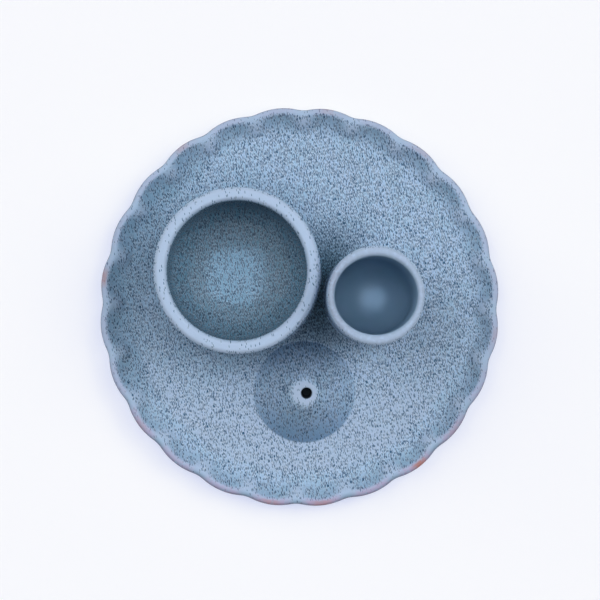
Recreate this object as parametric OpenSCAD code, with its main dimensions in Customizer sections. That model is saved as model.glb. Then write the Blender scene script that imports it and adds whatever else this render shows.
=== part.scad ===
// Smudge holder: a fluted ceramic dish that carries a cup for a herb bundle, a taller cup for
// wood sticks and a cone with a hole for one incense stick. The members are luted to the dish
// with slip. Millimetres, +Z up. The origin is the middle of the dish on the plane of its foot.

/* [Dish] */
// Diameter across opposite flute crests
dish_d = 151.5; // [146:0.5:200]
// Depth inside, from the top of the lip to the floor
dish_depth = 4; // [4:0.5:8]
// Number of flutes round the wall
flutes = 24; // [20:1:28]
// Depth of the notch between two flutes, seen from above
notch_depth = 1.1; // [0.8:0.05:1.5]
// Half width of the rounded bottom of a notch, in degrees round the dish
notch_soft = 1.8; // [0.6:0.1:2.4]
// How far the ridges between the scoops swell at mid height of the wall, in notch depths
ridge_swell = 1.5; // [0.5:0.1:2]
// Turn of the first notch from +X, in degrees
flute_turn = -0.9; // [-7.5:0.1:7.5]
// Thickness of the floor
floor_t = 4; // [3:0.5:5]
// Lean of the wall's inner face from the vertical, in degrees
inner_lean = 47; // [47:1:55]
// Lean of the wall's outer face from the vertical, in degrees
outer_lean = 40; // [34:1:44]
// Radius on the outer edge of the lip
lip_round = 1.2; // [1:0.1:1.4]
// Width of the flat left between the lip's two radii
lip_flat = 0.2; // [0.1:0.1:1]
// Radius on the inner edge of the lip
lip_roll = 2; // [1.2:0.1:2.1]
// Radius of the cove between floor and wall
cove_r = 12; // [6:0.5:12.5]
// Radius of the heel under the wall
heel_r = 5; // [2:0.5:6]

/* [Foot ring] */
// Outer diameter of the ring that the dish stands on
foot_d = 112; // [80:1:120]
// Width of the ring's standing face, edges included
foot_w = 5; // [4:0.5:8]
// Height of the ring
foot_h = 2; // [1.5:0.25:3]
// Radius on the ring's trimmed edges
foot_round = 0.8; // [0.4:0.1:1.2]

/* [Bundle cup] */
// Outer diameter
bundle_d = 60.8; // [48:0.2:72]
// Height from its own foot to its lip
bundle_h = 31.5; // [24:0.5:45]
// Wall thickness
bundle_wall = 5; // [4.4:0.1:6]
// Thickness of its floor
bundle_floor_t = 4.4; // [3:0.2:6]
// Radius on both edges of its lip
bundle_lip = 1.7; // [1:0.1:2.1]
// Height over which its floor curves up into its wall, inside
bundle_bowl = 16; // [8:1:18]
// Distance of its axis from the dish's axis
bundle_offset = 25.9; // [24:0.1:27]
// Direction of its axis from the dish's axis, in degrees from +X
bundle_bearing = 150.7; // [0:0.1:360]

/* [Stick cup] */
// Outer diameter
stick_d = 35; // [28:1:42]
// Height from its own foot to its lip
stick_h = 46.5; // [36:0.5:60]
// Wall thickness
stick_wall = 3.2; // [3:0.1:4.5]
// Thickness of its floor
stick_floor_t = 4.4; // [3:0.2:6]
// Radius on both edges of its lip
stick_lip = 1.4; // [0.8:0.1:1.4]
// Height over which its floor curves up into its wall, inside
stick_bowl = 14; // [8:1:20]
// Direction from the bundle cup to the stick cup, in degrees from +X
stick_bearing = -10.5; // [-20:0.5:20]
// Clear gap between the walls of the two cups
cup_gap = 2.5; // [1.8:0.1:6]

/* [Incense cone] */
// Diameter of its foot
cone_d = 38; // [31:1:44]
// Height from its own foot to its tip
cone_h = 14.5; // [10:0.5:20]
// Diameter at which its flank would meet the plane of its tip
tip_d = 10; // [9:0.5:14]
// Radius between its flank and its tip
tip_round = 3; // [1:0.5:3]
// Diameter of the hole for the stick
hole_d = 4; // [3:0.1:4.8]
// How far the hole is pierced off the cone's axis, towards +X
hole_shift = 0.8; // [0:0.1:0.8]
// Bevel on the mouth of the hole
mouth_bevel = 0.5; // [0.2:0.1:0.6]
// Direction from the bundle cup to the cone, in degrees from +X
cone_bearing = -61.5; // [-75:0.5:-55]
// Clear gap between the bundle cup's wall and the cone's foot
cone_gap = 1.8; // [1.7:0.1:5]

/* [Luting slip] */
// Thickness of the bed of slip under each member
slip_t = 0.6; // [0.3:0.1:0.6]
// Height of the bead above the dish's floor, and its width on the floor
slip_bead = 0.7; // [0.6:0.05:0.8]
// Thickness of the bead at its two thin edges
slip_edge = 0.15; // [0.1:0.05:0.3]

/* [Hidden] */
$fn = 96;

glaze = [0.54, 0.65, 0.75];
slip_glaze = [0.46, 0.57, 0.67];

// Straight pieces in each rounded corner of a turned profile
arc_steps = 8;
// Straight pieces in the heel, the two edges of the lip and the cove of the fluted wall
heel_steps = 4;
lip_steps = 6;
roll_steps = 3;
cove_steps = 8;
// Columns of the fluted wall in one flute
flute_steps = 8;
// How far a solid reaches past a face that it joins or cuts
overlap = 1;

// The flutes are arcs: each crest touches the dish's outline, each end lies in a notch
flute_angle = 360 / flutes;
crest_r = dish_d / 2;
notch_r = crest_r - notch_depth;
notch_x = notch_r * cos((flute_angle - notch_soft) / 2);
flute_r = (notch_r ^ 2 - 2 * crest_r * notch_x + crest_r ^ 2) / (2 * (crest_r - notch_x));
flute_axis_r = crest_r - flute_r;

// Heights in the dish
floor_z = foot_h + floor_t;
seat_z = floor_z + slip_t;
dish_h = floor_z + dish_depth;

// Corners of the wall before rounding, as distances from a flute's own axis
outer_top = flute_r - lip_round + lip_round / tan((90 - outer_lean) / 2);
outer_bottom = outer_top - (dish_h - foot_h) * tan(outer_lean);
inner_top = flute_r - lip_round - lip_flat - lip_roll / tan((90 + inner_lean) / 2);
inner_bottom = inner_top - dish_depth * tan(inner_lean);

// Places of the members on the floor
function along(distance, bearing) = distance * [cos(bearing), sin(bearing)];
bundle_at = along(bundle_offset, bundle_bearing);
stick_at = bundle_at + along((bundle_d + stick_d) / 2 + cup_gap, stick_bearing);
cone_at = bundle_at + along((bundle_d + cone_d) / 2 + cone_gap, cone_bearing);

// Points of an arc of radius r that rounds the corner at b, between a and c
function unit(v) = v / norm(v);
function bearing_of(v) = atan2(v[1], v[0]);
function half_turn(angle) = (angle + 540) % 360 - 180;
function corner(a, b, c, r, steps) =
  let (
    back = unit(a - b),
    on = unit(c - b),
    half = acos(back * on) / 2,
    centre = b + unit(back + on) * r / sin(half),
    from = bearing_of(b + back * r / tan(half) - centre),
    turn = half_turn(bearing_of(b + on * r / tan(half) - centre) - from)
  )
  [for (k = [0 : steps]) centre + along(r, from + turn * k / steps)];

// Outline through corners [x, z, radius]; a radius of 0 leaves the corner sharp
function flat(p) = [p[0], p[1]];
function rounded(corners) =
  let (n = len(corners))
  [
    for (i = [0 : n - 1])
      let (
        before = flat(corners[(i + n - 1) % n]),
        here = flat(corners[i]),
        after = flat(corners[(i + 1) % n])
      )
      each (corners[i][2] > 0 ? corner(before, here, after, corners[i][2], arc_steps) : [here])
  ];

// Hollow curve from a to c that bends towards the corner b
function hollow(a, b, c) =
  [
    for (k = [0 : arc_steps])
      let (t = k / arc_steps)
      (1 - t) ^ 2 * a + 2 * t * (1 - t) * b + t ^ 2 * c
  ];

// Angle off a crest, slowed to a stop at the notch so that the notch has a rounded bottom
function slowed(off) =
  let (past = max(0, abs(off) - flute_angle / 2 + notch_soft))
  abs(off) - past ^ 2 / (2 * notch_soft);

// Distance from the dish's axis, at an angle off the crest, of what lies reach from a flute's
// axis; share makes the dip towards the notch deeper or shallower
function fluted_r(reach, off, share) =
  let (
    turn = slowed(off),
    crest = flute_axis_r + reach,
    dip = crest - flute_axis_r * cos(turn) - sqrt(reach ^ 2 - (flute_axis_r * sin(turn)) ^ 2)
  )
  crest - share * dip;

// Share of the dip on the inside of the wall, from none on the floor to one on the lip
function inner_share(rise) = rise + ridge_swell * 4 * rise * (1 - rise);

// Floor and wall as one loft: rings of points from the underside, over the lip, to the floor
module fluted_body() {
  heel = [outer_bottom, foot_h];
  outer_lip = [outer_top, dish_h];
  inner_lip = [inner_top, dish_h];
  cove = [inner_bottom, floor_z];
  outside = concat(
    corner([0, foot_h], heel, outer_lip, heel_r, heel_steps),
    corner(heel, outer_lip, inner_lip, lip_round, lip_steps)
  );
  inside = concat(
    corner(outer_lip, inner_lip, cove, lip_roll, roll_steps),
    corner(inner_lip, cove, [0, floor_z], cove_r, cove_steps)
  );
  profile = concat(
    [for (p = outside) [p[0], p[1], 1]],
    [for (p = inside) [p[0], p[1], inner_share((p[1] - floor_z) / dish_depth)]]
  );
  rings = len(profile);
  columns = flutes * flute_steps;
  step = flute_angle / flute_steps;
  wall = [
    for (p = profile, j = [0 : columns - 1])
      let (
        off = (j % flute_steps) * step - flute_angle / 2,
        place = along(fluted_r(p[0], off, p[2]), flute_turn + j * step)
      )
      [place[0], place[1], p[1]]
  ];
  under = rings * columns;
  above = under + 1;
  sides = [
    for (k = [0 : rings - 2], j = [0 : columns - 1])
      let (
        low = k * columns + j,
        low_next = k * columns + (j + 1) % columns
      )
      each [
        [low, low + columns, low_next + columns],
        [low, low_next + columns, low_next]
      ]
  ];
  top = (rings - 1) * columns;
  ends = [
    for (j = [0 : columns - 1])
      let (next = (j + 1) % columns)
      each [[under, j, next], [above, top + next, top + j]]
  ];
  polyhedron(concat(wall, [[0, 0, foot_h], [0, 0, floor_z]]), concat(sides, ends));
}

module foot_ring() {
  foot_r = foot_d / 2;
  rotate_extrude()
    polygon(rounded([
      [foot_r - foot_w, 0, foot_round],
      [foot_r, 0, foot_round],
      [foot_r, foot_h + overlap, 0],
      [foot_r - foot_w, foot_h + overlap, 0]
    ]));
}

module dish() {
  color(glaze)
    union() {
      fluted_body();
      foot_ring();
    }
}

// Straight-walled cup whose floor curves up into its wall, turned about its own axis
module cup(d, h, wall, bottom, lip, bowl) {
  r = d / 2;
  bore_r = r - wall;
  rotate_extrude()
    polygon(concat(
      [[0, 0], [r, 0]],
      corner([r, 0], [r, h], [bore_r, h], lip, arc_steps),
      corner([r, h], [bore_r, h], [bore_r, bottom], lip, arc_steps),
      hollow([bore_r, bottom + bowl], [bore_r, bottom], [0, bottom])
    ));
}

module bundle_cup() {
  color(glaze)
    translate([bundle_at[0], bundle_at[1], seat_z])
      cup(bundle_d, bundle_h, bundle_wall, bundle_floor_t, bundle_lip, bundle_bowl);
}

module stick_cup() {
  color(glaze)
    translate([stick_at[0], stick_at[1], seat_z])
      cup(stick_d, stick_h, stick_wall, stick_floor_t, stick_lip, stick_bowl);
}

// Room for the incense stick, from below a face at low to above the cone's tip
module stick_hole(low) {
  hole_r = hole_d / 2;
  translate([hole_shift, 0, 0])
    rotate_extrude()
      polygon([
        [0, low - overlap],
        [hole_r, low - overlap],
        [hole_r, cone_h - mouth_bevel],
        [hole_r + mouth_bevel + overlap, cone_h + overlap],
        [0, cone_h + overlap]
      ]);
}

module incense_cone() {
  color(glaze)
    translate([cone_at[0], cone_at[1], seat_z])
      difference() {
        rotate_extrude()
          polygon(rounded([
            [0, 0, 0],
            [cone_d / 2, 0, 0],
            [tip_d / 2, cone_h, tip_round],
            [0, cone_h, 0]
          ]));
        stick_hole(0);
      }
}

// Bed of slip under a round foot, with a hollow bead up a flank that slopes in by lean
// millimetres for each millimetre of height
module slip_bed(foot_r, lean) {
  top_r = foot_r - (slip_bead - slip_t) * lean;
  rotate_extrude()
    polygon(concat(
      [[0, 0], [foot_r + slip_bead, 0]],
      hollow(
        [foot_r + slip_bead, slip_edge],
        [foot_r + slip_edge, slip_edge],
        [top_r + slip_edge, slip_bead]
      ),
      [[top_r, slip_bead], [foot_r, slip_t], [0, slip_t]]
    ));
}

module bundle_cup_slip() {
  color(slip_glaze)
    translate([bundle_at[0], bundle_at[1], floor_z])
      slip_bed(bundle_d / 2, 0);
}

module stick_cup_slip() {
  color(slip_glaze)
    translate([stick_at[0], stick_at[1], floor_z])
      slip_bed(stick_d / 2, 0);
}

module incense_cone_slip() {
  color(slip_glaze)
    translate([cone_at[0], cone_at[1], floor_z])
      difference() {
        slip_bed(cone_d / 2, (cone_d - tip_d) / 2 / cone_h);
        translate([0, 0, slip_t])
          stick_hole(-slip_t);
      }
}

dish();
bundle_cup();
stick_cup();
incense_cone();
bundle_cup_slip();
stick_cup_slip();
incense_cone_slip();
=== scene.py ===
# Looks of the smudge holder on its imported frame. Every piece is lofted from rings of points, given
# in millimetres and turned into metres in the frame's axes. Mesh attributes say where its glaze is
# speckled, pale, deep in tone, glossy, thin, blushing or worn down to the clay; the pale, deep and
# specks marks also carry painted light and painted shade.
import math

import bpy
from mathutils import Matrix, Vector, noise


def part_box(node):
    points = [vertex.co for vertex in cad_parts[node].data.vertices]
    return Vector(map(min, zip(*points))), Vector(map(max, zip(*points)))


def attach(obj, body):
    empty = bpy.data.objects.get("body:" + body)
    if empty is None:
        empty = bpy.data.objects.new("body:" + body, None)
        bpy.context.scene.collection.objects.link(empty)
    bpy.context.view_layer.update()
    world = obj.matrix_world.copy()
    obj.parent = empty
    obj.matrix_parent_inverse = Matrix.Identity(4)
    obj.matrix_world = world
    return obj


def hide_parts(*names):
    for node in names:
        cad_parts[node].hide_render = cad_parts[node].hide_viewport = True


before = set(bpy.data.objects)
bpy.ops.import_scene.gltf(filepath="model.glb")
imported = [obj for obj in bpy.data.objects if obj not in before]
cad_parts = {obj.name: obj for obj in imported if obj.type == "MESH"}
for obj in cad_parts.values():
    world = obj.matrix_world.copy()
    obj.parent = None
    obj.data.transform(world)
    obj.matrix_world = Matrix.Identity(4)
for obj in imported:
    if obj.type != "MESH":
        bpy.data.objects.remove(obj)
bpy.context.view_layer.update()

MM = 0.001
FULL_TURN = 2 * math.pi
SHARP_ANGLE = math.radians(45)
WAVE_GAIN = 0.6
MARKS = ("specks", "pale", "deep", "gloss", "thin", "blush", "bare")

# Sizes in millimetres, and angles, as in the part's source
FLUTES = 24
FLUTE_ANGLE = 360 / FLUTES
FLUTE_TURN = -0.9
CREST_R = 75.75
NOTCH_DEPTH = 1.1
NOTCH_SOFT = 1.8
DISH_H = 10
FLOOR_Z = 6
FOOT_H = 2
FOOT_R = 56
FOOT_W = 5
FOOT_ROUND = 0.8
RIDGE_SWELL = 1.5
INNER_LEAN = math.radians(47)
OUTER_LEAN = math.radians(40)
LIP_ROUND = 1.2
LIP_ROLL = 2
LIP_FLAT = 0.2
COVE_R = 12
HEEL_R = 5
CUP_FLOOR_T = 4.4
BUNDLE_WALL = 5
BUNDLE_LIP = 1.7
BUNDLE_BOWL = 16
STICK_WALL = 3.2
STICK_LIP = 1.4
STICK_BOWL = 14
CONE_H = 14.5
TIP_R = 5
TIP_ROUND = 3
HOLE_R = 2
HOLE_SHIFT = 0.8
MOUTH_ROUND = 0.5
SLIP_T = 0.6
SLIP_BEAD = 0.7


def lerp(a, b, t):
    return a + (b - a) * t


def smooth(low, high, x):
    """Soft step from 0 at low to 1 at high."""
    t = min(1, max(0, (x - low) / (high - low)))
    return t * t * (3 - 2 * t)


def angles_round(columns):
    return [FULL_TURN * j / columns for j in range(columns)]


def fillet(a, b, c, r, steps):
    """Points of an arc of radius r that rounds the corner at b, between a and c."""
    a, b, c = Vector(a), Vector(b), Vector(c)
    back = (a - b).normalized()
    on = (c - b).normalized()
    half = math.acos(back.dot(on)) / 2
    centre = b + (back + on).normalized() * (r / math.sin(half))
    first = b + back * (r / math.tan(half)) - centre
    last = b + on * (r / math.tan(half)) - centre
    start = math.atan2(first.y, first.x)
    turn = math.remainder(math.atan2(last.y, last.x) - start, FULL_TURN)
    points = []
    for k in range(steps + 1):
        angle = start + turn * k / steps
        points.append((centre.x + r * math.cos(angle), centre.y + r * math.sin(angle)))
    return points


def between(a, b, steps):
    """Points inside the straight line from a to b, without its ends."""
    return [(lerp(a[0], b[0], k / steps), lerp(a[1], b[1], k / steps)) for k in range(1, steps)]


def bend(a, b, c, t):
    """Point at share t of a curve from a to c that bends towards the corner b."""
    return tuple((1 - t) ** 2 * a[i] + 2 * t * (1 - t) * b[i] + t ** 2 * c[i] for i in (0, 1))


def along(points):
    """The points of a row, each after its share of the way along it, from 0 to 1."""
    last = len(points) - 1
    return [(k / last, x, z) for k, (x, z) in enumerate(points)]


def wave(angle, pace, seed):
    """Smooth noise from 0 to 1 that closes on itself round a ring."""
    place = Vector((math.cos(angle) * pace, math.sin(angle) * pace, seed))
    return min(1, max(0, 0.5 + WAVE_GAIN * noise.noise(place)))


def add_object(name, data):
    thing = bpy.data.objects.new(name, data)
    bpy.context.scene.collection.objects.link(thing)
    return thing


def ring(at, radii, z, **marks):
    """One ring of a loft. A list holds a value for each column, a number is the same all round."""
    return {"at": at, "radii": radii, "z": z, "marks": marks}


def at_column(value, j):
    return value[j] if isinstance(value, list) else value


def loft(name, rings, columns, closed=False):
    """Mesh object through the rings: a closed loop of rings, or one that ends in two poles."""
    verts = []
    marks = {mark: [] for mark in MARKS}
    for one in rings:
        for j, angle in enumerate(angles_round(columns)):
            r = at_column(one["radii"], j)
            verts.append((
                (one["at"][0] + r * math.cos(angle)) * MM,
                (one["at"][1] + r * math.sin(angle)) * MM,
                at_column(one["z"], j) * MM,
            ))
            for mark in MARKS:
                marks[mark].append(at_column(one["marks"].get(mark, 0), j))
    faces = []
    count = len(rings)
    for k in range(count if closed else count - 1):
        low = k * columns
        high = (k + 1) % count * columns
        for j in range(columns):
            nxt = (j + 1) % columns
            faces.append((low + j, low + nxt, high + nxt, high + j))
    if not closed:
        for one, end in ((rings[0], 0), (rings[-1], 1)):
            pole = len(verts)
            z = sum(at_column(one["z"], j) for j in range(columns)) / columns
            verts.append((one["at"][0] * MM, one["at"][1] * MM, z * MM))
            for mark in MARKS:
                marks[mark].append(at_column(one["marks"].get(mark, 0), 0))
            first = end * (count - 1) * columns
            for j in range(columns):
                nxt = (j + 1) % columns
                tip = (pole, first + nxt, first + j)
                faces.append(tip[::-1] if end else tip)
    mesh = bpy.data.meshes.new(name)
    mesh.from_pydata(verts, [], faces)
    for mark in MARKS:
        layer = mesh.attributes.new(mark, "FLOAT", "POINT")
        layer.data.foreach_set("value", marks[mark])
    mesh.shade_smooth()
    mesh.set_sharp_from_angle(angle=SHARP_ANGLE)
    mesh.update()
    return add_object(name, mesh)


def middle_of(node):
    """Axis and radius of a round CAD node, and its lowest and highest point, in millimetres."""
    low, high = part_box(node)
    at = ((low.x + high.x) / 2 / MM, (low.y + high.y) / 2 / MM)
    return at, (high.x - low.x) / 2 / MM, low.z / MM, high.z / MM


def shifted(at):
    """Axis of the hole, a little to the right of the axis of what it runs through."""
    return (at[0] + HOLE_SHIFT, at[1])


cups = [middle_of(node)[:2] for node in ("bundle_cup", "stick_cup")]
cone_at, cone_r, cone_low, cone_high = middle_of("incense_cone")
hole_at = shifted(cone_at)

# From here on, a pair named SPAN is the start and the end of a soft step. A mark goes from 0 to 1,
# except for specks, where 1 is what plain glaze has and there may be more.


# Dish

FLUTE_COLUMNS = 20
BASE_STEPS = 12
FOOT_STEPS = 6
GAP_STEPS = 5
HEEL_STEPS = 8
OUTER_WALL_STEPS = 8
LIP_STEPS = 10
ROLL_STEPS = 12
INNER_WALL_STEPS = 4
COVE_STEPS = 16
FLOOR_STEPS = 24

# Radius of the corners between the foot ring and the underside, and the margin inside them
FOOT_CORNER = 0.5
BASE_MARGIN = 0.6

# Irregularities of a hand-made dish: how far each one goes, and the pace and seed of its wave
STRAY_DEGREES = 0.5
STRAY_WAVE = (2.3, 4.7)
NOTCH_LEAST = 0.88
NOTCH_MORE = 0.24
NOTCH_WAVE = (3.1, 9.2)
OUTLINE_DIP = 0.12
OUTLINE_WAVE = (1.4, 2.2)
LIP_DIP = 0.22
LIP_WAVE = (1.7, 6.6)

# Crests where the glaze has worn thin on the lip: direction in degrees, half width, strength
WORN_CRESTS = (
    (-52.6, 3.4, 0.85),
    (-83.4, 4.2, 0.42),
    (-98.4, 4.2, 0.38),
    (-38.4, 4.8, 0.2),
    (126.6, 3.2, 0.28),
    (171.6, 3.6, 0.5),
    (-8.4, 3.4, 0.2),
    (81.6, 3.2, 0.2),
    (51.6, 4.4, 0.16),
    (-143.4, 3.4, 0.2),
)
WORN_CORE = 0.2
WORN_OUTSIDE_SPAN = (0.15, 0.5)
WORN_INSIDE_SPAN = (0, 0.1)

# Crests and ridges, by the share of the way from a crest to its notch
CREST_SPAN = (0.45, 0.95)
RIDGE_SPAN = (0.4, 0.95)

# Thin glaze, blush and painted shade along the edge, by millimetres inwards, most at the front
FRONT_FACING_SPAN = (0.2, 0.8)
EDGE_THIN = 0.65
EDGE_START = 0.1
EDGE_END_BACK = 0.5
EDGE_END_FRONT = 1.0
BLUSH_AT_BACK = 0.3
BLUSH_LEAST = 0.4
BLUSH_WAVE = (2.6, 11.3)
BLUSH_SPAN = (1.4, 3.2)
FRONT_LIP_SHADE = 0.35
FRONT_LIP_SPAN = (0.7, 2.4)

# Pale lip, where it ends as a share of the way in, and the direction in which it is broadest
LIP_PALE = 0.55
LIP_PALE_SPAN = (0.3, 0.9)
LIP_START = 0.02
LIP_NARROW = 0.09
LIP_BROAD = 0.21
LIP_BEARING = math.radians(240)

# Pale rays on the ridges and deeper scoops between them, by the share of the way in
RAY_AT_LIP = 0.4
RAY_BELOW_LIP = 0.65
RAY_START_SPAN = (0.02, 0.2)
RAY_END_SPAN = (0.1, 0.75)
RAY_CALM = 0.45
RAY_LESS_LIP = 0.3
RAY_LESS_SCOOP = 0.9
RAY_LESS_LEFT = 0.5
SCOOP_DEEP = 0.27
SCOOP_CALM = 0.35
SCOOP_START_SPAN = (0.06, 0.2)
SCOOP_END_SPAN = (0.25, 1)

# Painted shade on the left of the dish, in the pocket between the cups and round the wide cup's foot,
# where the cups shade the floor, and painted light on the front of the floor, all by millimetres
LEFT_SHADE = 0.5
LEFT_BEARING = math.radians(165)
LEFT_SPAN = (46, 66)
POCKET_SHADE = 1.0
POCKET_SHADE_REACH = 28
CUP_FOOT_SHADE = 0.32
CUP_FOOT_SHADE_REACH = 18
FRONT_PAINTED_LIGHT = 0.55
FRONT_SPAN = (12, 43)

# Amounts of specks, and how many the painted light on the front of the floor loses and the painted shade
# between the cups gains
OUTSIDE_SPECKS = 0.8
HEEL_SPECKS = 0.7
FOOT_SPECKS = 0.6
EDGE_SPECKS = 0.3
LIP_SPECKS = 0.05
FLOOR_SPECKS = 1.08
FRONT_LIGHT_CALM = 0.3
POCKET_SHADE_SPECKS = 0.9

notch_r = CREST_R - NOTCH_DEPTH
notch_x = notch_r * math.cos(math.radians(FLUTE_ANGLE - NOTCH_SOFT) / 2)
flute_r = (notch_r ** 2 - 2 * CREST_R * notch_x + CREST_R ** 2) / (2 * (CREST_R - notch_x))
flute_axis_r = CREST_R - flute_r


def off_crest(angle):
    """Degrees from the nearest crest, on hand-made flutes whose notches stray a little."""
    stray = STRAY_DEGREES * (wave(angle, *STRAY_WAVE) - 0.5)
    turned = math.degrees(angle) - FLUTE_TURN + stray
    return abs(turned % FLUTE_ANGLE - FLUTE_ANGLE / 2)


def fluted(reach, angle, share):
    """Distance from the dish's axis of a point at reach from a flute's axis, at a share of depth."""
    off = off_crest(angle)
    past = max(0, off - FLUTE_ANGLE / 2 + NOTCH_SOFT)
    turn = math.radians(off - past ** 2 / (2 * NOTCH_SOFT))
    across = flute_axis_r * math.sin(turn)
    r = flute_axis_r * math.cos(turn) + math.sqrt(reach ** 2 - across ** 2)
    crest = flute_axis_r + reach
    depth = share * (NOTCH_LEAST + NOTCH_MORE * wave(angle, *NOTCH_WAVE))
    return crest - (crest - r) * depth - OUTLINE_DIP * wave(angle, *OUTLINE_WAVE)


def worn(angle):
    """How far the glaze has worn off the lip at this direction, from 0 to 1."""
    most = 0
    for crest, half_width, strength in WORN_CRESTS:
        off = abs(math.remainder(math.degrees(angle) - crest, 360))
        most = max(most, strength * (1 - smooth(WORN_CORE * half_width, half_width, off)))
    return most


def cup_pocket_shade(x, y):
    """How closely the two cups hem in a place on the floor, from 0 to 1, which sets the painted shade
    between them.
    """
    share = 1
    for at, r in cups:
        share *= 1 - smooth(0, POCKET_SHADE_REACH, math.hypot(x - at[0], y - at[1]) - r)
    return share


def floor_painted_shade(x, y):
    """Painted shade on the floor near the cups, from 0 to 1: between them, and round the wide cup's
    foot.
    """
    at, r = cups[0]
    # Painted shade round the wide cup's foot.
    foot_shade = 1 - smooth(0, CUP_FOOT_SHADE_REACH, math.hypot(x - at[0], y - at[1]) - r)
    return max(POCKET_SHADE * cup_pocket_shade(x, y), CUP_FOOT_SHADE * foot_shade)


def leftward(r, angle):
    """How far a place lies towards the dish's left side, from 0 to 1."""
    return smooth(*LEFT_SPAN, r * math.cos(angle - LEFT_BEARING))


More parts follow.
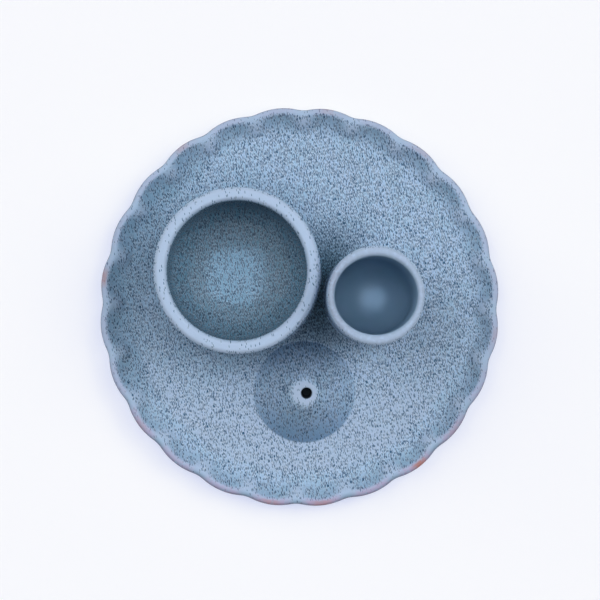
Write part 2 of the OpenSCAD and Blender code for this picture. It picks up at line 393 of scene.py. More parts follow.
def make_dish():
    columns = FLUTES * FLUTE_COLUMNS
    angles = angles_round(columns)
    outer_top = flute_r - LIP_ROUND + LIP_ROUND / math.tan((math.pi / 2 - OUTER_LEAN) / 2)
    outer_bottom = outer_top - (DISH_H - FOOT_H) * math.tan(OUTER_LEAN)
    inner_top = flute_r - LIP_ROUND - LIP_FLAT
    inner_top -= LIP_ROLL / math.tan((math.pi / 2 + INNER_LEAN) / 2)
    inner_bottom = inner_top - (DISH_H - FLOOR_Z) * math.tan(INNER_LEAN)
    heel = (outer_bottom, FOOT_H)
    outer_lip = (outer_top, DISH_H)
    inner_lip = (inner_top, DISH_H)
    cove = (inner_bottom, FLOOR_Z)
    rings = []

    def level(radii, z, **marks):
        rings.append(ring((0, 0), radii, z, **marks))

    def wall(reach, z, share, **marks):
        rise = max(0, (z - FLOOR_Z) / (DISH_H - FLOOR_Z))
        heights = [z - LIP_DIP * rise * wave(a, *LIP_WAVE) for a in angles]
        level([fluted(reach, a, share) for a in angles], heights, **marks)

    # Underside with its trimmed foot ring, whose corners are bare of glaze from one share to another
    inner_edge = FOOT_R - FOOT_W
    for k in range(1, BASE_STEPS + 1):
        level((inner_edge - BASE_MARGIN) * k / BASE_STEPS, FOOT_H, specks=OUTSIDE_SPECKS)
    ring_corners = (
        ((0, FOOT_H), (inner_edge, FOOT_H), (inner_edge, 0), FOOT_CORNER, 0, 0.3),
        ((inner_edge, FOOT_H), (inner_edge, 0), (FOOT_R, 0), FOOT_ROUND, 0.6, 1),
        ((inner_edge, 0), (FOOT_R, 0), (FOOT_R, FOOT_H), FOOT_ROUND, 1, 0.6),
        ((FOOT_R, 0), (FOOT_R, FOOT_H), (CREST_R, FOOT_H), FOOT_CORNER, 0.3, 0),
    )
    for a, b, c, r, bare_from, bare_to in ring_corners:
        for t, x, z in along(fillet(a, b, c, r, FOOT_STEPS)):
            level(x, z, bare=lerp(bare_from, bare_to, t), specks=FOOT_SPECKS)
    heel_arc = fillet((0, FOOT_H), heel, outer_lip, HEEL_R, HEEL_STEPS)
    start = [fluted(heel_arc[0][0], a, 1) for a in angles]
    for k in range(1, GAP_STEPS):
        radii = [lerp(FOOT_R + FOOT_CORNER, r, k / GAP_STEPS) for r in start]
        level(radii, FOOT_H, specks=HEEL_SPECKS)

    # Outside of the wall, up to the top of the lip
    for x, z in heel_arc:
        wall(x, z, 1, specks=HEEL_SPECKS)
    outer_arc = fillet(heel, outer_lip, inner_lip, LIP_ROUND, LIP_STEPS)
    for x, z in between(heel_arc[-1], outer_arc[0], OUTER_WALL_STEPS):
        wall(x, z, 1, specks=OUTSIDE_SPECKS)
    wear = [worn(a) for a in angles]
    front = [smooth(*FRONT_FACING_SPAN, -math.sin(a)) for a in angles]
    to_notch = [off_crest(a) / (FLUTE_ANGLE / 2) for a in angles]
    crest = [1 - smooth(*CREST_SPAN, off) for off in to_notch]
    ridge = [smooth(*RIDGE_SPAN, off) for off in to_notch]
    flush = [q * lerp(BLUSH_LEAST, 1, wave(a, *BLUSH_WAVE)) for q, a in zip(crest, angles)]
    edge_x = max(x for x, z in outer_arc)

    def edge(x):
        """Dark thin glaze along the very edge, and a blush over the crests."""
        inwards = edge_x - x
        ends = [lerp(EDGE_END_BACK, EDGE_END_FRONT, f) for f in front]
        fade = 1 - smooth(*BLUSH_SPAN, inwards)
        return {
            "thin": [EDGE_THIN * (1 - smooth(EDGE_START, end, inwards)) for end in ends],
            "blush": [lerp(BLUSH_AT_BACK, 1, f) * q * fade for f, q in zip(front, flush)],
        }

    def lip_front_shade(x):
        """Painted shade on the front of the lip, which faces away from the lamps."""
        return [FRONT_LIP_SHADE * f * (1 - smooth(*FRONT_LIP_SPAN, edge_x - x)) for f in front]

    for t, x, z in along(outer_arc):
        wall(
            x, z, 1,
            specks=lerp(EDGE_SPECKS, LIP_SPECKS, t),
            pale=LIP_PALE * smooth(*LIP_PALE_SPAN, t),
            deep=lip_front_shade(x),
            bare=[w * smooth(*WORN_OUTSIDE_SPAN, t) for w in wear],
            **edge(x),
        )

    # Inside of the wall, where ridges run in from the notches and die away towards the floor
    broad = [0.5 + 0.5 * math.cos(a - LIP_BEARING) for a in angles]
    inner_arc = fillet(outer_lip, inner_lip, cove, LIP_ROLL, ROLL_STEPS)
    cove_arc = fillet(inner_lip, cove, (0, FLOOR_Z), COVE_R, COVE_STEPS)
    lip_x = inner_arc[0][0]
    floor_x = cove_arc[-1][0]
    for x, z in inner_arc + between(inner_arc[-1], cove_arc[0], INNER_WALL_STEPS) + cove_arc:
        way_in = (lip_x - x) / (lip_x - floor_x)
        rise = (z - FLOOR_Z) / (DISH_H - FLOOR_Z)
        share = rise + RIDGE_SWELL * 4 * rise * (1 - rise)
        fade = 1 - smooth(*RAY_END_SPAN, way_in)
        scoop = smooth(*SCOOP_START_SPAN, way_in) * (1 - smooth(*SCOOP_END_SPAN, way_in))
        ray = lerp(RAY_AT_LIP, RAY_BELOW_LIP, smooth(*RAY_START_SPAN, way_in)) * fade
        marks = {mark: [] for mark in ("specks", "pale", "deep", "bare")}
        for a, q, b, w, f in zip(angles, ridge, broad, wear, lip_front_shade(x)):
            lip_end = lerp(LIP_NARROW, LIP_BROAD, b)
            lip = 1 - smooth(LIP_START, lip_end, way_in)
            speckled = (1 - RAY_CALM * fade * q) * (1 - SCOOP_CALM * scoop * (1 - q))
            pool = SCOOP_DEEP * scoop * (1 - RAY_LESS_SCOOP * q)
            # The left of the wall gets the same painted shade as the left of the floor, and f is painted
            # shade on the front of the lip.
            left = LEFT_SHADE * leftward(CREST_R, a) * (1 - lip) * (1 - RAY_LESS_LEFT * fade * q)
            marks["specks"].append(lerp(LIP_SPECKS, speckled, smooth(0, lip_end, way_in)))
            marks["pale"].append(max(LIP_PALE * lip * (1 - RAY_LESS_LIP * q), ray * q))
            marks["deep"].append(max(pool, left, f))
            marks["bare"].append(w * (1 - smooth(*WORN_INSIDE_SPAN, way_in)))
        wall(x, z, share, **marks, **edge(x))

    # Floor
    rim = [fluted(floor_x, a, 0) for a in angles]
    for k in range(1, FLOOR_STEPS):
        radii = [(1 - k / FLOOR_STEPS) * r for r in rim]
        places = [(r * math.cos(a), r * math.sin(a)) for r, a in zip(radii, angles)]
        # The front of the floor gets painted light: it is paler and has fewer specks.
        forward = [smooth(*FRONT_SPAN, -y) for x, y in places]
        plain = [FLOOR_SPECKS - FRONT_LIGHT_CALM * f for f in forward]
        # The left of the floor gets painted shade, and so do the pocket between the cups and the ring
        # round the wide cup's foot; between the cups it also gets more specks.
        left = [LEFT_SHADE * leftward(r, a) for r, a in zip(radii, angles)]
        level(
            radii, FLOOR_Z,
            specks=[s + POCKET_SHADE_SPECKS * cup_pocket_shade(*p) for s, p in zip(plain, places)],
            pale=[FRONT_PAINTED_LIGHT * f for f in forward],
            deep=[max(floor_painted_shade(*p), q) for p, q in zip(places, left)],
        )
    return loft("dish_thrown", rings, columns)


# Cups

CUP_COLUMNS = 160
CUP_BASE_STEPS = 6
CUP_WALL_STEPS = 24
CUP_LIP_STEPS = 12
CUP_BORE_STEPS = 14
BOWL_STEPS = 28

# Irregularities of a hand-made cup, as a share of its radius and in millimetres, with their waves'
# paces and the step from the first wave's seed to the second's
CUP_OUT_OF_ROUND = 0.004
CUP_ROUND_PACE = 0.9
CUP_DIP = 0.2
CUP_DIP_PACE = 1.2
CUP_SEED_STEP = 3
BUNDLE_SEED = 1.5
STICK_SEED = 7.5

# Lean of the narrow cup's rim along x and y, and its swell outside and inside, in millimetres
STICK_LEAN = (0.2, -0.16)
STICK_OVAL = (-0.16, 0.4)

# Marks on the lips and inside the cups. The deeper tone inside is partly the glaze's own teal and partly
# painted shade in the hollow.
BUNDLE_ON_LIP = {"specks": 0.11, "pale": 0.75, "thin": 0.0}
BUNDLE_INSIDE = {"specks": 1.15, "deep": 0.71, "gloss": 1.0}
STICK_ON_LIP = {"specks": 0.0, "pale": 0.6, "thin": 0.21}
STICK_INSIDE = {"specks": 0.0, "deep": 0.41, "gloss": 0.45}

# Soft steps over the rounding of the lip, outside and inside, and fewer specks low in the bowl
OUTER_SPECKS_SPAN = (0, 0.8)
OUTER_TOP_SPAN = (0.1, 0.8)
INNER_SPECKS_SPAN = (0.4, 1)
INNER_TOP_SPAN = (0.2, 0.9)
INNER_TONE_SPAN = (0.6, 1)
LEFT_FACING_SPAN = (0.3, 1)
BOWL_SPECKS = 0.75
BOWL_SPAN = (0.15, 0.6)


def make_cup(name, node, wall, lip, bowl, seed, on_lip, inside, lean=(0, 0), oval=(0, 0)):
    """Thrown cup. Its rim may lean, and be oval outside and inside, by so many millimetres."""
    angles = angles_round(CUP_COLUMNS)
    at, r, low, high = middle_of(node)
    bore = r - wall
    floor = low + CUP_FLOOR_T
    rings = []

    def turned(x, z, **marks):
        sway = smooth(low, high, z)
        swell = sway * lerp(oval[1], oval[0], smooth(bore, r, x)) * min(1, x / bore)
        radii = []
        heights = []
        for a in angles:
            dent = CUP_OUT_OF_ROUND * sway * wave(a, CUP_ROUND_PACE, seed)
            radii.append(x * (1 - dent) + swell * math.cos(2 * a))
            heights.append(z - CUP_DIP * sway * wave(a, CUP_DIP_PACE, seed + CUP_SEED_STEP))
        centre = (at[0] + lean[0] * sway, at[1] + lean[1] * sway)
        rings.append(ring(centre, radii, heights, **marks))

    def top_marks(share):
        """Pale and thin glaze on top of the lip; towards the left the thin mark's darker tone grows up
        to twice as strong.
        """
        left = [1 + smooth(*LEFT_FACING_SPAN, -math.cos(a)) for a in angles]
        thin = [share * on_lip["thin"] * more for more in left]
        return {"pale": on_lip["pale"] * share, "thin": thin}

    for k in range(1, CUP_BASE_STEPS + 1):
        turned(r * k / CUP_BASE_STEPS, low, specks=OUTSIDE_SPECKS)
    outer_arc = fillet((r, low), (r, high), (bore, high), lip, CUP_LIP_STEPS)
    for x, z in between((r, low), outer_arc[0], CUP_WALL_STEPS):
        turned(x, z, specks=OUTSIDE_SPECKS)
    for t, x, z in along(outer_arc):
        specks = lerp(OUTSIDE_SPECKS, on_lip["specks"], smooth(*OUTER_SPECKS_SPAN, t))
        turned(x, z, specks=specks, **top_marks(smooth(*OUTER_TOP_SPAN, t)))
    inner_arc = fillet((r, high), (bore, high), (bore, floor), lip, CUP_LIP_STEPS)
    for t, x, z in along(inner_arc):
        # Inside, the deep mark is partly teal glaze and partly painted shade.
        inner = smooth(*INNER_TONE_SPAN, t)
        turned(
            x, z,
            specks=lerp(on_lip["specks"], inside["specks"], smooth(*INNER_SPECKS_SPAN, t)),
            deep=inside["deep"] * inner,
            gloss=inside["gloss"] * inner,
            **top_marks(1 - smooth(*INNER_TOP_SPAN, t)),
        )
    bowl_top = (bore, floor + bowl)
    for x, z in between(inner_arc[-1], bowl_top, CUP_BORE_STEPS):
        turned(x, z, **inside)
    for k in range(BOWL_STEPS):
        x, z = bend(bowl_top, (bore, floor), (0, floor), k / BOWL_STEPS)
        calm = lerp(BOWL_SPECKS, 1, smooth(*BOWL_SPAN, x / bore))
        turned(x, z, **{**inside, "specks": inside["specks"] * calm})
    return loft(name, rings, CUP_COLUMNS)


# Cone

CONE_COLUMNS = 128
CONE_BASE_STEPS = 6
FLANK_STEPS = 24
TIP_STEPS = 10
FLAT_STEPS = 4
MOUTH_STEPS = 6
HOLE_STEPS = 12

# Deeper tone all round, painted shade in front, which fades towards the tip, and a pale tip
CONE_DEEP = 0.12
CONE_FRONT_SHADE = 0.5
CONE_FRONT_FADE = 0.7
TIP_PALE = 0.8
TIP_PALE_SPAN = (0.25, 1)
MOUTH_PALE_SPAN = (0.2, 1)

# Amounts of specks at the cone's foot and on its flat top, and how many its front and tip lose
CONE_FOOT_SPECKS = 0.75
CONE_FOOT_SPAN = (0, 0.4)
CONE_FRONT_CALM = 0.5
TIP_CALM = 0.85
TIP_CALM_SPAN = (0.2, 1)
FLAT_SPECKS = 0.1


def make_cone(name):
    """Turned cone, whose rings shift from its own axis to the hole's across the flat top."""
    angles = angles_round(CONE_COLUMNS)
    rings = []

    def turned(x, z, share, **marks):
        rings.append(ring((lerp(cone_at[0], hole_at[0], share), cone_at[1]), x, z, **marks))

    for k in range(1, CONE_BASE_STEPS):
        t = k / CONE_BASE_STEPS
        turned(lerp(HOLE_R, cone_r, t), cone_low, 1 - t)
    foot = (cone_r, cone_low)
    tip_arc = fillet(foot, (TIP_R, cone_high), (0, cone_high), TIP_ROUND, TIP_STEPS)
    flank = [foot] + between(foot, tip_arc[0], FLANK_STEPS)
    for k, (x, z) in enumerate(flank):
        t = k / FLANK_STEPS
        deep = []
        specks = []
        for a in angles:
            place = (cone_at[0] + x * math.cos(a), cone_at[1] + x * math.sin(a))
            # Painted shade: the front of the flank is darker, and by the cups it takes the floor's
            # painted shade.
            facing = smooth(0, 1, -math.sin(a)) * (1 - CONE_FRONT_FADE * t)
            deep.append(max(floor_painted_shade(*place), lerp(CONE_DEEP, CONE_FRONT_SHADE, facing)))
            plain = lerp(CONE_FOOT_SPECKS, 1, smooth(*CONE_FOOT_SPAN, t))
            specks.append(plain * (1 - CONE_FRONT_CALM * facing) + POCKET_SHADE_SPECKS * cup_pocket_shade(*place))
        turned(x, z, 0, specks=specks, deep=deep)
    for t, x, z in along(tip_arc):
        specks = 1 - TIP_CALM * smooth(*TIP_CALM_SPAN, t)
        turned(x, z, 0, specks=specks, pale=TIP_PALE * smooth(*TIP_PALE_SPAN, t))
    mouth = ((TIP_R, cone_high), (HOLE_R, cone_high), (HOLE_R, cone_low))
    mouth_arc = fillet(*mouth, MOUTH_ROUND, MOUTH_STEPS)
    for k, (x, z) in enumerate(between(tip_arc[-1], mouth_arc[0], FLAT_STEPS), 1):
        turned(x, z, k / FLAT_STEPS, specks=FLAT_SPECKS, pale=TIP_PALE)
    for t, x, z in along(mouth_arc):
        pale = TIP_PALE * (1 - smooth(*MOUTH_PALE_SPAN, t))
        turned(x, z, 1, specks=FLAT_SPECKS, pale=pale)
    for x, z in between(mouth_arc[-1], (HOLE_R, cone_low), HOLE_STEPS):
        turned(x, z, 1)
    turned(HOLE_R, cone_low, 1)
    return loft(name, rings, CONE_COLUMNS, closed=True)


# Beds of slip under the cups and the cone, with a bead round each foot

SLIP_COLUMNS = 160
BED_STEPS = 3
BEAD_STEPS = 8
COVER_STEPS = 4
SLIP_SPECKS = 0.75

# Least size and pace of the uneven bead, how far its edge stays off the floor in millimetres, and
# how far from the foot's corner its hollow face bends, as a share of its size
BEAD_LEAST = 0.55
BEAD_PACE = 4.2
BEAD_EDGE = 0.03
BEAD_HOLLOW = 0.1


def make_slip(name, node, foot_node, lean=0, hole=False):
    """Bed of slip, whose bead leans in with the piece above it. A hole may run through it."""
    at, _, low, _ = middle_of(node)
    foot = middle_of(foot_node)[1]
    inner = HOLE_R + HOLE_SHIFT
    bed = low + SLIP_T
    spread = [lerp(BEAD_LEAST, 1, wave(a, BEAD_PACE, foot)) for a in angles_round(SLIP_COLUMNS)]
    rings = []
    if hole:
        rings += [ring(shifted(at), HOLE_R, lerp(bed, low, share)) for share in (0, 0.5, 1)]
    for k in range(1, BED_STEPS + 1):
        rings.append(ring(at, lerp(inner, foot, k / BED_STEPS), low))
    for k in range(BEAD_STEPS + 1):
        radii = []
        heights = []
        for s in spread:
            bead = SLIP_BEAD * s
            edge = (foot + bead, low + BEAD_EDGE)
            corner = (foot + BEAD_HOLLOW * bead, low + BEAD_EDGE + BEAD_HOLLOW * bead)
            top = (foot - max(0, bead - SLIP_T) * lean, low + max(bead, SLIP_T))
            x, z = bend(edge, corner, top, k / BEAD_STEPS)
            radii.append(x)
            heights.append(z)
        rings.append(ring(at, radii, heights, specks=SLIP_SPECKS))
    for k in range(COVER_STEPS):
        rings.append(ring(at, lerp(foot, inner, k / COVER_STEPS), bed))
    return loft(name, rings, SLIP_COLUMNS, closed=hole)


dish = make_dish()
bundle_cup = make_cup(
    "bundle_cup_thrown", "bundle_cup", BUNDLE_WALL, BUNDLE_LIP, BUNDLE_BOWL, BUNDLE_SEED,
    BUNDLE_ON_LIP, BUNDLE_INSIDE,
)
stick_cup = make_cup(
    "stick_cup_thrown", "stick_cup", STICK_WALL, STICK_LIP, STICK_BOWL, STICK_SEED,
    STICK_ON_LIP, STICK_INSIDE, STICK_LEAN, STICK_OVAL,
)
cone = make_cone("incense_cone_turned")
cone_lean = (cone_r - TIP_R) / CONE_H
bundle_slip = make_slip("bundle_cup_bead", "bundle_cup_slip", "bundle_cup")
stick_slip = make_slip("stick_cup_bead", "stick_cup_slip", "stick_cup")
cone_slip = make_slip("incense_cone_bead", "incense_cone_slip", "incense_cone", cone_lean, True)


# Materials

def srgb(red, green, blue):
    """Linear colour with alpha, from the 0 to 255 values that a screen shows."""
    shown = [c / 255 for c in (red, green, blue)]
    return tuple(c / 12.92 if c < 0.04045 else ((c + 0.055) / 1.055) ** 2.4 for c in shown) + (1,)


class Nodes:
    """Short ways to add nodes to one tree."""

    def __init__(self, tree):
        self.tree = tree
        tree.nodes.clear()

    def add(self, kind, **values):
        node = self.tree.nodes.new(kind)
        for key, value in values.items():
            setattr(node, key, value)
        return node

    def put(self, socket, value):
        if isinstance(value, bpy.types.NodeSocket):
            self.tree.links.new(value, socket)
        else:
            socket.default_value = value

    def maths(self, operation, a, b=0.0):
        node = self.add("ShaderNodeMath", operation=operation)
        self.put(node.inputs[0], a)
        self.put(node.inputs[1], b)
        return node.outputs[0]

    def vector(self, operation, a, b):
        node = self.add("ShaderNodeVectorMath", operation=operation)
        self.put(node.inputs[0], a)
        self.put(node.inputs[1], b)
        return node.outputs["Value" if operation == "DISTANCE" else "Vector"]

    def scale(self, vector, value):
        node = self.add("ShaderNodeVectorMath", operation="SCALE")
        self.put(node.inputs[0], vector)
        self.put(node.inputs["Scale"], value)
        return node.outputs[0]

    def parts(self, vector):
        node = self.add("ShaderNodeSeparateXYZ")
        self.put(node.inputs[0], vector)
        return node.outputs

    def mix(self, share, a, b):
        """Mixed colour. A mix node's sockets for colours come after those for other values."""
        node = self.add("ShaderNodeMix", data_type="RGBA")
        self.put(node.inputs["Factor"], share)
        self.put(node.inputs[6], a)
        self.put(node.inputs[7], b)
        return node.outputs[2]

    def blend(self, share, a, b):
        """Mixed number."""
        node = self.add("ShaderNodeMix", data_type="FLOAT")
        self.put(node.inputs["Factor"], share)
        self.put(node.inputs[2], a)
        self.put(node.inputs[3], b)
        return node.outputs[0]

    def ramp(self, value, low, high):
        node = self.add("ShaderNodeMapRange", interpolation_type="SMOOTHSTEP")
        self.put(node.inputs["Value"], value)
        self.put(node.inputs["From Min"], low)
        self.put(node.inputs["From Max"], high)
        return node.outputs["Result"]

    def mark(self, name):
        return self.add("ShaderNodeAttribute", attribute_name=name).outputs["Fac"]

    def cloud(self, place, scale, detail=2.0):
        node = self.add("ShaderNodeTexNoise")
        self.put(node.inputs["Vector"], place)
        node.inputs["Scale"].default_value = scale
        node.inputs["Detail"].default_value = detail
        return node.outputs

    def by_ray(self, unseen, seen):
        """One shader for rays that light the part, and one for rays that show the background."""
        path = self.add("ShaderNodeLightPath")
        shown = self.maths("MAXIMUM", path.outputs["Is Camera Ray"], path.outputs["Is Glossy Ray"])
        shown = self.maths("MAXIMUM", shown, path.outputs["Is Transmission Ray"])
        pick = self.add("ShaderNodeMixShader")
        self.put(pick.inputs[0], shown)
        self.put(pick.inputs[1], unseen.outputs[0])
        self.put(pick.inputs[2], seen.outputs[0])
        return pick.outputs[0]


# Specks: their lean in degrees, length and width in metres of the cell that holds one, least and
# most reach within a cell, the share of cells with a speck, softness of edge, strength of the
# faintest, and how far they stray from an even grid
SPECK_TURN = 100
SPECK_CELL = (0.0012, 0.00032)
SPECK_LEAST = 0.34
SPECK_MOST = 0.57
SPECK_SHARE = 0.66
SPECK_EDGE = 0.06
SPECK_FAINTEST = 0.7
SPECK_SPREAD = 0.85

# Roughness of specks, how much of it shows where the glaze is glossy, and how far they sink in
SPECK_ROUGH = 0.7
SPECK_DULL_IN_GLOSS = 0.75
SPECK_SINK = 0.35

# Pale halos round the specks: width within a cell, strength on plain glaze and where it is deep
HALO_WIDTH = 0.3
HALO_STRENGTH = 0.8
HALO_IN_DEEP = 0.1

# Fine grain of the glaze, its cell in metres, and the noise that stirs specks and grain
GRAIN_CELL = (0.0004, 0.00028)
GRAIN_STRENGTH = 0.15
STIR = 0.00015
STIR_SCALE = 1300

# Clouds in the ground's hue, in the amount of specks and in what is thin, blushing or bare
MOTTLE_SCALE = 130
MOTTLE_DETAIL = 3.0
MOTTLE_SPAN = (0.32, 0.68)
DRIFT_SCALE = 220
DRIFT_DETAIL = 1.0
DRIFT_RANGE = (0.75, 1.25)
WANDER_SCALE = 700
THIN_SPAN = (0.2, 0.6)
BLUSHING_SPAN = (0.15, 0.6)
BARE_SPAN = (0.05, 0.5)

# Upward part of a surface's facing below which its specks are laid out from the side
STEEP = 0.45

# Near-black in the hole, in millimetres: how far past its wall it fades, from how far inside it is full,
# and how far below the dish's floor it goes
HOLE_DARK_OUT = 0.25
HOLE_DARK_IN = 0.15
HOLE_DARK_BELOW = 1

# Surface of the glaze and of bare clay
GLAZE_IOR = 1.5
CLAY_ROUGH = 0.85
BUMP_SCALE = 320
BUMP_STRENGTH = 0.25
BUMP_DISTANCE = 0.00015

GROUND_BLUE = srgb(156, 181, 210)
GROUND_TEAL = srgb(149, 178, 204)
PALE = srgb(166, 182, 207)
FROST = srgb(196, 207, 221)
DEEP = srgb(56, 105, 130)
DEEP_BLUE = srgb(52, 113, 160)
DEEP_TEAL = srgb(58, 107, 127)
SPECK = srgb(0, 72, 110)
SPECK_DEEP = srgb(4, 24, 40)
THIN = srgb(103, 98, 114)
BLUSH = srgb(167, 153, 185)
CLAY = srgb(181, 129, 116)
CLAY_DARK = srgb(163, 109, 98)
HOLE_DARK = srgb(14, 16, 20)


def stirred(nodes, place):
    """The place, moved a little by noise, so that outlines on it waver."""
    swirl = nodes.cloud(place, STIR_SCALE)["Color"]
    centred = nodes.vector("SUBTRACT", swirl, (0.5, 0.5, 0.5))
    return nodes.vector("ADD", place, nodes.scale(centred, STIR))


def flat_map(nodes, place, facing):
    """Place on a flat map of the surface: from above where it is level, else from the side."""
    at = nodes.parts(place)
    x, y, z = [nodes.maths("ABSOLUTE", one) for one in nodes.parts(facing)]
    wall = nodes.maths("LESS_THAN", z, STEEP)
    sideways = nodes.maths("MULTIPLY", wall, nodes.maths("GREATER_THAN", x, y))
    both = nodes.add("ShaderNodeCombineXYZ")
    nodes.put(both.inputs[0], nodes.blend(sideways, at[0], at[1]))
    nodes.put(both.inputs[1], nodes.blend(wall, at[1], at[2]))
    return both.outputs[0]


def scatter(nodes, place, cell, spread):
    """Cells of the given size on a flat map: distance from a cell's middle, and its chances."""
    mapping = nodes.add("ShaderNodeMapping", vector_type="TEXTURE")
    nodes.put(mapping.inputs["Vector"], place)
    mapping.inputs["Rotation"].default_value = (0, 0, math.radians(SPECK_TURN))
    mapping.inputs["Scale"].default_value = (cell[0], cell[1], 1)
    cells = nodes.add("ShaderNodeTexVoronoi", feature="F1", voronoi_dimensions="2D")
    nodes.put(cells.inputs["Vector"], mapping.outputs["Vector"])
    cells.inputs["Scale"].default_value = 1.0
    cells.inputs["Randomness"].default_value = spread
    chance = nodes.add("ShaderNodeSeparateColor")
    nodes.put(chance.inputs[0], cells.outputs["Color"])
    return cells.outputs["Distance"], chance.outputs


def speck_masks(nodes, place, share):
    """Short dark dashes of mixed sizes, and the halos round them, from 0 to 1."""
    away, chance = scatter(nodes, place, SPECK_CELL, SPECK_SPREAD)
    depth = nodes.maths("SUBTRACT", nodes.blend(chance[0], SPECK_LEAST, SPECK_MOST), away)
    kept = nodes.maths("LESS_THAN", chance[2], share)
    strength = nodes.maths("MULTIPLY", kept, nodes.blend(chance[1], SPECK_FAINTEST, 1.0))
    specks = nodes.maths("MULTIPLY", nodes.ramp(depth, -SPECK_EDGE, SPECK_EDGE), strength)
    halo = nodes.maths("MULTIPLY", nodes.ramp(depth, -HALO_WIDTH, 0.0), kept)
    return specks, halo


def hole_dark_mask(nodes, place):
    """1 in the incense hole, down to just below the dish's floor."""
    level = nodes.vector("MULTIPLY", place, (1, 1, 0))
    away = nodes.vector("DISTANCE", level, (hole_at[0] * MM, hole_at[1] * MM, 0))
    near = nodes.ramp(away, (HOLE_R + HOLE_DARK_OUT) * MM, (HOLE_R - HOLE_DARK_IN) * MM)
    above = nodes.maths("GREATER_THAN", nodes.parts(place)["Z"], (FLOOR_Z - HOLE_DARK_BELOW) * MM)
    return nodes.maths("MULTIPLY", near, above)


def glaze(name, rough, inside_rough, shine, deep_colour):
    """Satin blue-grey glaze over red clay, freckled with dark iron specks."""
    material = bpy.data.materials.new(name)
    material.use_nodes = True
    nodes = Nodes(material.node_tree)
    where = nodes.add("ShaderNodeTexCoord")
    place = where.outputs["Object"]
    on_map = flat_map(nodes, stirred(nodes, place), where.outputs["Normal"])
    deep = nodes.mark("deep")
    gloss = nodes.mark("gloss")

    # Ground with its specks, halos and grain
    mottle = nodes.cloud(place, MOTTLE_SCALE, MOTTLE_DETAIL)["Fac"]
    ground = nodes.mix(nodes.ramp(mottle, *MOTTLE_SPAN), GROUND_TEAL, GROUND_BLUE)
    # The pale mark also carries painted light, and the deep mark and the extra specks carry painted
    # shade.
    ground = nodes.mix(nodes.mark("pale"), ground, PALE)
    ground = nodes.mix(deep, ground, deep_colour)
    drift = nodes.blend(nodes.cloud(place, DRIFT_SCALE, DRIFT_DETAIL)["Fac"], *DRIFT_RANGE)
    amount = nodes.maths("MULTIPLY", nodes.mark("specks"), drift)
    specks, halo = speck_masks(nodes, on_map, nodes.maths("MULTIPLY", amount, SPECK_SHARE))
    frosted = nodes.blend(deep, HALO_STRENGTH, HALO_IN_DEEP)
    ground = nodes.mix(nodes.maths("MULTIPLY", halo, frosted), ground, FROST)
    grain_chance = scatter(nodes, on_map, GRAIN_CELL, 1.0)[1][0]
    lightness = nodes.blend(grain_chance, -GRAIN_STRENGTH, GRAIN_STRENGTH)
    lightness = nodes.maths("ADD", nodes.maths("MULTIPLY", lightness, amount), 1.0)
    dark = nodes.mix(deep, SPECK, SPECK_DEEP)
    colour = nodes.mix(specks, nodes.scale(ground, lightness), dark)

    # Blush, thin glaze, bare clay and the near-black of the hole, one over the other
    wander = nodes.cloud(place, WANDER_SCALE)["Fac"]
    blush = nodes.maths("MULTIPLY", nodes.mark("blush"), nodes.ramp(wander, *BLUSHING_SPAN))
    colour = nodes.mix(blush, colour, BLUSH)
    thin = nodes.maths("MULTIPLY", nodes.mark("thin"), nodes.ramp(wander, *THIN_SPAN))
    colour = nodes.mix(thin, colour, THIN)
    bare = nodes.maths("MULTIPLY", nodes.mark("bare"), nodes.ramp(wander, *BARE_SPAN))
    colour = nodes.mix(bare, colour, nodes.mix(wander, CLAY_DARK, CLAY))
    colour = nodes.mix(hole_dark_mask(nodes, place), colour, HOLE_DARK)

    # Roughness and bump
    dull = nodes.maths("MULTIPLY", specks, nodes.blend(gloss, 1.0, SPECK_DULL_IN_GLOSS))
    roughness = nodes.blend(gloss, rough, inside_rough)
    roughness = nodes.blend(dull, roughness, SPECK_ROUGH)
    roughness = nodes.blend(bare, roughness, CLAY_ROUGH)
    swell = nodes.cloud(place, BUMP_SCALE)["Fac"]
    sunk = nodes.maths("MULTIPLY", dull, SPECK_SINK)
    bump = nodes.add("ShaderNodeBump")
    bump.inputs["Strength"].default_value = BUMP_STRENGTH
    bump.inputs["Distance"].default_value = BUMP_DISTANCE
    nodes.put(bump.inputs["Height"], nodes.maths("SUBTRACT", swell, sunk))

    shader = nodes.add("ShaderNodeBsdfPrincipled")
    nodes.put(shader.inputs["Base Color"], colour)
    nodes.put(shader.inputs["Roughness"], roughness)
    nodes.put(shader.inputs["Normal"], bump.outputs["Normal"])
    shader.inputs["Specular IOR Level"].default_value = shine
    shader.inputs["IOR"].default_value = GLAZE_IOR
    out = nodes.add("ShaderNodeOutputMaterial")
    nodes.put(out.inputs["Surface"], shader.outputs["BSDF"])
    return material


# Each glaze: roughness, roughness where it is glossy, strength of its shine, colour where it is deep
dish_glaze = glaze("dish_speckled_glaze", 0.45, 0.45, 0.2, DEEP)
cup_glaze = glaze("cup_speckled_glaze", 0.5, 0.17, 0.45, DEEP_TEAL)
cone_glaze = glaze("cone_speckled_glaze", 0.45, 0.45, 0.2, DEEP_BLUE)
slip_glaze = glaze("slip_speckled_glaze", 0.45, 0.45, 0.2, DEEP)

for piece, node, slot, material in (
    (dish, "dish", "dish_glaze", dish_glaze),
    (bundle_cup, "bundle_cup", "cup_glaze", cup_glaze),
    (stick_cup, "stick_cup", "cup_glaze", cup_glaze),
    (cone, "incense_cone", "cone_glaze", cone_glaze),
    (bundle_slip, "bundle_cup_slip", "slip_seam", slip_glaze),
    (stick_slip, "stick_cup_slip", "slip_seam", slip_glaze),
    (cone_slip, "incense_cone_slip", "slip_seam", slip_glaze),
):
    piece.data.materials.append(material)
    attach(piece, "root")
    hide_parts(node)


# Floor, light and camera

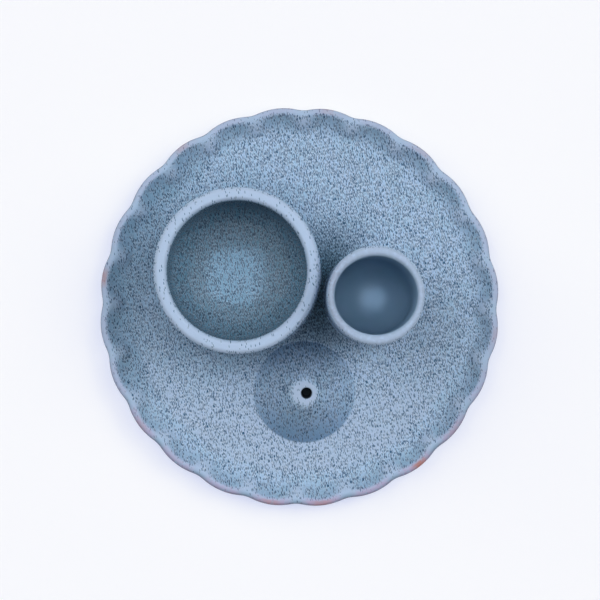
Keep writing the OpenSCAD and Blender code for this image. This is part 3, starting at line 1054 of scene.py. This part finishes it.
# Half the floor's side in metres, its colour for the light that it throws back, and its colour and
# glow where it is seen
FLOOR_HALF = 2.5
FLOOR_COLOUR = (0.8, 0.8, 0.82, 1)
FLOOR_SEEN = (0.5, 0.45, 0.2, 1)
FLOOR_GLOW = (0.443, 0.502, 0.79, 1)

BACKDROP = srgb(249, 250, 254)
SKY = (1, 1, 1, 1)
SKY_STRENGTH = 0.03

# Soft light from all round: name, height above the horizon, direction and width in degrees,
# strength
SOFT_LAMPS = (
    ("window_left", 40, 150, 60, 1.30),
    ("window_left_high", 74, 150, 30, 0.54),
    ("window_right", 40, 30, 30, 0.68),
    ("window_right_high", 58, 30, 30, 0.48),
    ("window_right_side", 40, 0, 30, 0.47),
    ("ceiling_front", 74, 330, 30, 0.26),
    ("ceiling_back", 74, 30, 30, 0.24),
    ("low_front", 24, 270, 30, 0.07),
)

# Lamp that shows only in the gloss: place, target and side in millimetres, watts and colour
OVERHEAD_AT = (3, 61, 395)
OVERHEAD_TARGET = (3, 61, 0)
OVERHEAD_UP = (0.0, 1.0, 0.01)
OVERHEAD_SIDE = 290
OVERHEAD_WATTS = 1.4
OVERHEAD_COLOUR = (0.41, 0.69, 1.0)

# Camera: place and target in millimetres, focal length and image side in pixels
CAMERA_AT = (1.35, -9.27, 655)
CAMERA_TARGET = (0.23, 2.35, 16)
CAMERA_UP = (0, 1, 0)
FOCAL_PIXELS = 1705.7
IMAGE_SIDE = 600
SENSOR_WIDTH = 36
CLIP_START = 0.01


def make_floor():
    mesh = bpy.data.meshes.new("floor")
    corners = [(x * FLOOR_HALF, y * FLOOR_HALF, 0) for x, y in ((-1, -1), (1, -1), (1, 1), (-1, 1))]
    mesh.from_pydata(corners, [], [(0, 1, 2, 3)])
    floor = add_object("floor", mesh)
    material = bpy.data.materials.new("pale_floor")
    material.use_nodes = True
    nodes = Nodes(material.node_tree)
    matt = nodes.add("ShaderNodeBsdfDiffuse")
    matt.inputs["Color"].default_value = FLOOR_COLOUR
    seen = nodes.add("ShaderNodeBsdfDiffuse")
    seen.inputs["Color"].default_value = FLOOR_SEEN
    glow = nodes.add("ShaderNodeEmission")
    glow.inputs["Color"].default_value = FLOOR_GLOW
    glow.inputs["Strength"].default_value = 1.0
    both = nodes.add("ShaderNodeAddShader")
    nodes.put(both.inputs[0], seen.outputs[0])
    nodes.put(both.inputs[1], glow.outputs[0])
    out = nodes.add("ShaderNodeOutputMaterial")
    nodes.put(out.inputs["Surface"], nodes.by_ray(matt, both))
    floor.data.materials.append(material)


def make_world():
    world = bpy.data.worlds.new("studio")
    bpy.context.scene.world = world
    world.use_nodes = True
    nodes = Nodes(world.node_tree)
    backdrop = nodes.add("ShaderNodeBackground")
    backdrop.inputs["Color"].default_value = BACKDROP
    backdrop.inputs["Strength"].default_value = 1.0
    sky = nodes.add("ShaderNodeBackground")
    sky.inputs["Color"].default_value = SKY
    sky.inputs["Strength"].default_value = SKY_STRENGTH
    out = nodes.add("ShaderNodeOutputWorld")
    nodes.put(out.inputs["Surface"], nodes.by_ray(sky, backdrop))


def aim(thing, place, target, up):
    """Puts a lamp or a camera at place, looking at target, both in millimetres."""
    place = Vector(place) * MM
    forward = (Vector(target) * MM - place).normalized()
    right = forward.cross(Vector(up)).normalized()
    above = right.cross(forward)
    turn = Matrix((right, above, -forward)).transposed().to_4x4()
    thing.matrix_world = Matrix.Translation(place) @ turn


def make_soft_lamp(name, height, direction, width, strength):
    data = bpy.data.lights.new(name, "SUN")
    data.angle = math.radians(width)
    data.energy = strength
    lamp = add_object(name, data)
    up = math.radians(height)
    round_to = math.radians(direction)
    level = math.cos(up)
    towards = Vector((level * math.cos(round_to), level * math.sin(round_to), math.sin(up)))
    lamp.rotation_euler = towards.to_track_quat("Z", "Y").to_euler()
    lamp.visible_camera = False
    lamp.visible_glossy = False


def make_overhead_lamp():
    data = bpy.data.lights.new("overhead", "AREA")
    data.shape = "RECTANGLE"
    data.size = OVERHEAD_SIDE * MM
    data.size_y = OVERHEAD_SIDE * MM
    data.energy = OVERHEAD_WATTS
    data.color = OVERHEAD_COLOUR
    lamp = add_object("overhead", data)
    lamp.visible_camera = False
    lamp.visible_diffuse = False
    aim(lamp, OVERHEAD_AT, OVERHEAD_TARGET, OVERHEAD_UP)


def make_camera():
    data = bpy.data.cameras.new("camera")
    data.sensor_width = SENSOR_WIDTH
    data.lens = FOCAL_PIXELS * SENSOR_WIDTH / IMAGE_SIDE
    data.clip_start = CLIP_START
    camera = add_object("camera", data)
    aim(camera, CAMERA_AT, CAMERA_TARGET, CAMERA_UP)
    bpy.context.scene.camera = camera


make_floor()
make_world()
for lamp in SOFT_LAMPS:
    make_soft_lamp(*lamp)
make_overhead_lamp()
make_camera()

bpy.context.scene.view_settings.view_transform = "Standard"
